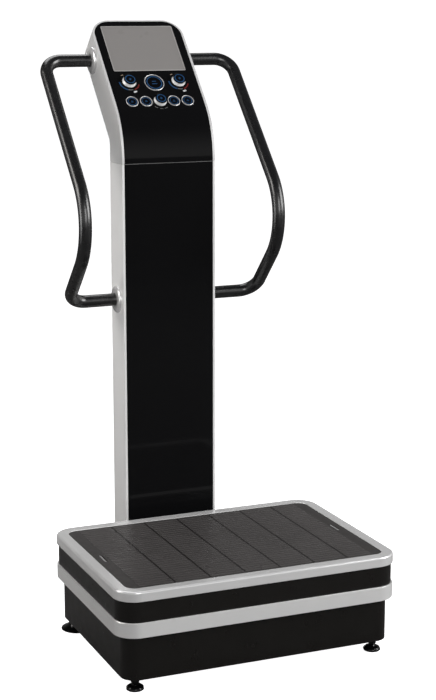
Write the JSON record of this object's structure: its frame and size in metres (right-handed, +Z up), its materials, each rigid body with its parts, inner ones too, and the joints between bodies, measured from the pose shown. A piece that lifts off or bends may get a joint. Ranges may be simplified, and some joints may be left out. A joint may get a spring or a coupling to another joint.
{
  "type": "vibration plate",
  "caption": "Gym vibration plate: a rocking, mat-covered deck on a box base, a rear column with a leaning console head, and two looped handlebars.",
  "frame": {"origin": "on the floor, under the middle of the whole machine's box", "axes": "+Z up, +Y to the rear (the way the user faces), +X to the user's right"},
  "size_m": [0.7, 0.8952, 1.471],
  "materials": {
    "rim_metal": "polished",
    "silver_paint": "satin metallic",
    "black_coat": "satin powder coat",
    "black_gloss": "high gloss",
    "mat_rubber": "matte",
    "foot_rubber": "matte",
    "board": "raw",
    "frame_steel": "matte black",
    "bare_steel": "machined",
    "cast": "machined",
    "motor_paint": "satin",
    "belt_rubber": "matte",
    "tube_black": "semi-gloss",
    "chrome_trim": "bright",
    "screen_grey": "clear cover",
    "key_black": "gloss",
    "plastic_black": "moulded",
    "circuit": "solder mask"
  },
  "bodies": {
    "base": {"base_shell": "black_coat", "base_plate": "frame_steel", "chassis_frame": "frame_steel", "column_rails": "frame_steel", "deck_buffers": "foot_rubber", "front_pivot_block": "cast", "rear_pivot_block": "cast", "pivot_shaft": "bare_steel", "left_crank_bearing": "cast", "right_crank_bearing": "cast", "drive_belt": "belt_rubber", "motor": "motor_paint", "control_box": "plastic_black", "power_inlet": "plastic_black", "switch_frame": "plastic_black", "rear_left_foot": "foot_rubber", "rear_right_foot": "foot_rubber", "column_mount": "frame_steel", "column_bolts": "bare_steel", "column_shell": "silver_paint", "column_panel": "black_gloss", "column_mast": "frame_steel", "lower_cross_bar": "frame_steel", "upper_cross_bar": "frame_steel", "head_shell": "silver_paint", "head_panel": "black_gloss", "screen_bezel": "plastic_black", "screen": "screen_grey", "start_ring": "chrome_trim", "key_rings": "chrome_trim", "console_board": "circuit", "left_handlebar": "tube_black", "right_handlebar": "tube_black", "left_upper_flange": "silver_paint", "right_upper_flange": "silver_paint", "left_lower_flange": "silver_paint", "right_lower_flange": "silver_paint"},
    "deck": {"deck_rim": "rim_metal", "deck_board": "board", "deck_mat": "mat_rubber", "strap_bars": "chrome_trim", "deck_skirt": "black_coat", "deck_stripe": "silver_paint", "deck_frame": "frame_steel"},
    "crank": {"crankshaft": "bare_steel", "crank_pulley": "cast"},
    "motor_shaft": {"motor_rotor": "bare_steel"},
    "left_rod": {"left_connecting_rod": "cast"},
    "right_rod": {"right_connecting_rod": "cast"},
    "left_leveller": {"front_left_foot": "foot_rubber"},
    "right_leveller": {"front_right_foot": "foot_rubber"},
    "rocker": {"power_rocker": "plastic_black"},
    "left_knob": {"left_dial": "chrome_trim"},
    "right_knob": {"right_dial": "chrome_trim"},
    "lower_knob": {"lower_dial": "chrome_trim"},
    "start_button": {"start_key": "key_black"},
    "button_1": {"key_1": "key_black"},
    "button_2": {"key_2": "key_black"},
    "button_3": {"key_3": "key_black"},
    "button_4": {"key_4": "key_black"}
  },
  "joints": [
    {"name": "deck_rock", "type": "hinge", "parent": "base", "child": "deck", "pos_m": [0, -0.19609, 0.18], "axis": [0, 1, 0], "range_deg": [-1.3, 1.3], "stiffness_Nm_per_rad": 1500},
    {"name": "crank_spin", "type": "hinge", "parent": "base", "child": "crank", "pos_m": [0, -0.31609, 0.112], "axis": [1, 0, 0], "continuous": true},
    {"name": "motor_spin", "type": "hinge", "parent": "base", "child": "motor_shaft", "pos_m": [0.12, -0.13609, 0.1], "axis": [1, 0, 0], "continuous": true},
    {"name": "left_rod_swing", "type": "hinge", "parent": "crank", "child": "left_rod", "pos_m": [-0.22, -0.31109, 0.112], "axis": [1, 0, 0], "continuous": true},
    {"name": "right_rod_swing", "type": "hinge", "parent": "crank", "child": "right_rod", "pos_m": [0.22, -0.32109, 0.112], "axis": [1, 0, 0], "continuous": true},
    {"name": "left_foot_screw", "type": "slide", "parent": "base", "child": "left_leveller", "axis": [0, 0, 1], "range_m": [-0.01, 0]},
    {"name": "right_foot_screw", "type": "slide", "parent": "base", "child": "right_leveller", "axis": [0, 0, 1], "range_m": [-0.01, 0]},
    {"name": "rocker_tilt", "type": "hinge", "parent": "base", "child": "rocker", "pos_m": [-0.19, 0.03641, 0.095], "axis": [1, 0, 0], "range_deg": [0, 16]},
    {"name": "left_dial_turn", "type": "hinge", "parent": "base", "child": "left_knob", "pos_m": [-0.066, 0.2419, 1.32069], "axis": [0, -0.7314, 0.682], "range_deg": [-135, 135]},
    {"name": "right_dial_turn", "type": "hinge", "parent": "base", "child": "right_knob", "pos_m": [0.066, 0.2419, 1.32069], "axis": [0, -0.7314, 0.682], "range_deg": [-135, 135]},
    {"name": "lower_dial_turn", "type": "hinge", "parent": "base", "child": "lower_knob", "pos_m": [0, 0.19894, 1.27462], "axis": [0, -0.7314, 0.682], "range_deg": [-135, 135]},
    {"name": "start_press", "type": "slide", "parent": "base", "child": "start_button", "axis": [0, -0.7314, 0.682], "range_m": [-0.002, 0], "stiffness_N_per_m": 700, "springref_m": 0.001},
    {"name": "button_1_press", "type": "slide", "parent": "base", "child": "button_1", "axis": [0, -0.7314, 0.682], "range_m": [-0.002, 0], "stiffness_N_per_m": 600, "springref_m": 0.001},
    {"name": "button_2_press", "type": "slide", "parent": "base", "child": "button_2", "axis": [0, -0.7314, 0.682], "range_m": [-0.002, 0], "stiffness_N_per_m": 600, "springref_m": 0.001},
    {"name": "button_3_press", "type": "slide", "parent": "base", "child": "button_3", "axis": [0, -0.7314, 0.682], "range_m": [-0.002, 0], "stiffness_N_per_m": 600, "springref_m": 0.001},
    {"name": "button_4_press", "type": "slide", "parent": "base", "child": "button_4", "axis": [0, -0.7314, 0.682], "range_m": [-0.002, 0], "stiffness_N_per_m": 600, "springref_m": 0.001}
  ],
  "couplings": [
    {"joint": "motor_spin", "follows": "crank_spin", "ratio": 2.3333},
    {"joint": "left_rod_swing", "follows": "crank_spin", "ratio": -1},
    {"joint": "right_rod_swing", "follows": "crank_spin", "ratio": -1}
  ]
}
